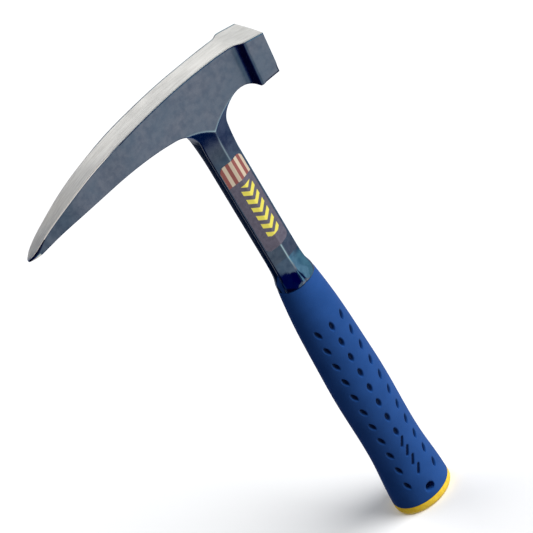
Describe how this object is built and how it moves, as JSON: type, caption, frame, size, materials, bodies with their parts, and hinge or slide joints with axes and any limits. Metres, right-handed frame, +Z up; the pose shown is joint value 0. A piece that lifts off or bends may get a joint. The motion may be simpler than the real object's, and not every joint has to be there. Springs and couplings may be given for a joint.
{
  "type": "rock hammer",
  "caption": "One-piece forged rock hammer with a square striking face, a long pointed pick, a ridged neck and a dimpled two-layer grip.",
  "frame": {"origin": "middle of the butt's flat underside", "axes": "+Z up along the handle, +X towards the striking face, -X towards the pick, Y across the thickness; the label is on the -Y side"},
  "size_m": [0.1778, 0.0328, 0.33],
  "materials": {
    "forged_steel": "lacquered blue-grey forging with a ground bright strip along the top of the head",
    "yellow_cushion": "satin",
    "blue_grip": "satin moulded vinyl",
    "label_film": "printed film"
  },
  "bodies": {
    "root": {"forged_body": "forged_steel", "grip_core": "yellow_cushion", "grip_sleeve": "blue_grip", "label": "label_film"}
  },
  "joints": []
}
